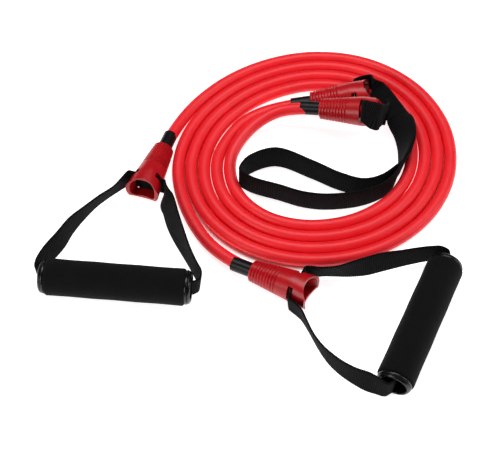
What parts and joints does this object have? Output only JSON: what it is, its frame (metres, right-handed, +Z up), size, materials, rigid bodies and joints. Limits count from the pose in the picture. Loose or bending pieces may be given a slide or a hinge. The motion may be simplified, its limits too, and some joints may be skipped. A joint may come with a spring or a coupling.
{
  "type": "resistance band",
  "caption": "Coiled elastic tube band with foam handles on webbing, ribbed cone connectors and a long webbing anchor strap.",
  "frame": {"origin": "centre of the base of the object without its free tubes, on the surface it lies on", "axes": "+Z up; +X to the right, along the longest side of the laid-out object; +Y away from the two handles towards the far side of the coil"},
  "size_m": [0.3764, 0.3744, 0.0564],
  "materials": {
    "tube": "satin elastic tube",
    "sleeve": "glossy black",
    "plug": "smooth red",
    "connector": "semi-gloss moulded red",
    "webbing": "ribbed black webbing",
    "foam": "matte closed-cell foam",
    "core": "extruded black tube",
    "bushing": "glossy moulded black"
  },
  "bodies": {
    "coil": {"left_tube": "tube", "right_tube": "tube", "left_handle_sleeve": "sleeve", "right_handle_sleeve": "sleeve", "left_anchor_sleeve": "sleeve", "right_anchor_sleeve": "sleeve", "left_handle_plug": "plug", "right_handle_plug": "plug", "left_anchor_plug": "plug", "right_anchor_plug": "plug", "left_anchor_connector": "connector", "right_anchor_connector": "connector", "anchor_strap_head": "webbing"},
    "anchor_loop": {"anchor_strap_loop": "webbing"},
    "left_connector": {"left_handle_connector": "connector", "left_web_crossing": "webbing"},
    "left_handle": {"left_handle_web": "webbing"},
    "left_grip": {"left_foam_grip": "foam", "left_core_tube": "core", "left_handle_outer_bushing": "bushing", "left_handle_inner_bushing": "bushing"},
    "right_connector": {"right_handle_connector": "connector", "right_web_crossing": "webbing"},
    "right_handle": {"right_handle_web": "webbing"},
    "right_grip": {"right_foam_grip": "foam", "right_core_tube": "core", "right_handle_near_bushing": "bushing", "right_handle_far_bushing": "bushing"}
  },
  "joints": [
    {"name": "anchor_loop_swing", "type": "hinge", "parent": "coil", "child": "anchor_loop", "pos_m": [0.14878, 0.12537, 0.01715], "axis": [-0.9659, -0.259, 0], "range_deg": [0, 60]},
    {"name": "left_connector_swivel", "type": "hinge", "parent": "coil", "child": "left_connector", "pos_m": [-0.0799, 0.085, 0.0102], "axis": [-0.3009, -0.9478, 0.1053], "range_deg": [-25, 25]},
    {"name": "left_handle_fold", "type": "hinge", "parent": "left_connector", "child": "left_handle", "pos_m": [-0.09285, 0.0442, 0.01473], "axis": [-0.9531, 0.3026, 0], "range_deg": [-20, 125]},
    {"name": "left_grip_roll", "type": "hinge", "parent": "left_handle", "child": "left_grip", "pos_m": [-0.1142, -0.0623, 0.016], "axis": [0.9959, -0.09, 0], "continuous": true},
    {"name": "right_connector_swivel", "type": "hinge", "parent": "coil", "child": "right_connector", "pos_m": [0.0025, -0.0474, 0.0102], "axis": [0.8831, -0.4575, 0.1044], "range_deg": [-25, 25]},
    {"name": "right_handle_fold", "type": "hinge", "parent": "right_connector", "child": "right_handle", "pos_m": [0.04052, -0.06709, 0.0147], "axis": [-0.46, -0.8879, 0], "range_deg": [-20, 125]},
    {"name": "right_grip_roll", "type": "hinge", "parent": "right_handle", "child": "right_grip", "pos_m": [0.1428, -0.101, 0.016], "axis": [0.4271, 0.9042, 0], "continuous": true}
  ]
}
